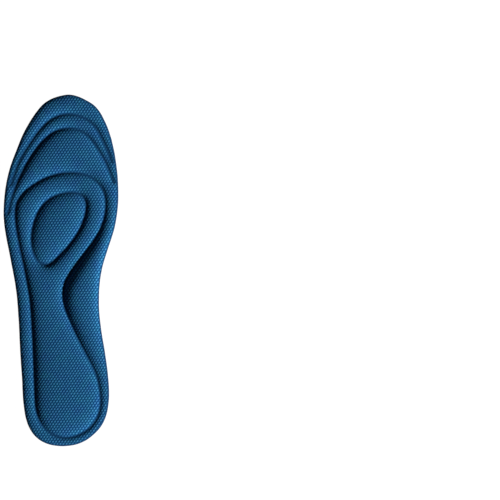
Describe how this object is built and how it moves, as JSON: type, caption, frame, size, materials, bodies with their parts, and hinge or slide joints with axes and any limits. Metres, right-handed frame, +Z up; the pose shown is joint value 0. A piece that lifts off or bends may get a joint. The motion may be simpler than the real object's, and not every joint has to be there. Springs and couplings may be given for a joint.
{
  "type": "cushioned insole",
  "caption": "Full-length cushioned shoe insole for the left foot, with a knitted mesh cover, grooved sponge cushions, a raised arch side and a flat underside.",
  "frame": {"origin": "on the floor, at the middle of the outline's bounding box, level with the flat underside", "axes": "+Y along the foot towards the toe, +X towards the arch (medial) side, +Z up through the cover"},
  "size_m": [0.0864, 0.2649, 0.0099],
  "materials": {
    "knit_mesh": "honeycomb knitted mesh, light blue over navy",
    "cushion_sponge": "open-cell polyurethane sponge",
    "base_foam": "closed-cell EVA foam, cut edge",
    "hot_melt_web": "translucent hot-melt adhesive web",
    "backing_cloth": "thin plain-woven backing cloth"
  },
  "bodies": {
    "root": {"top_cover": "knit_mesh", "toe_tip_pad": "cushion_sponge", "toe_crest_pad": "cushion_sponge", "surround_pad": "cushion_sponge", "ball_heel_pad": "cushion_sponge", "metatarsal_pad": "cushion_sponge", "upper_adhesive_web": "hot_melt_web", "base_foam": "base_foam", "lower_adhesive_web": "hot_melt_web", "backing_cloth": "backing_cloth"}
  },
  "joints": []
}
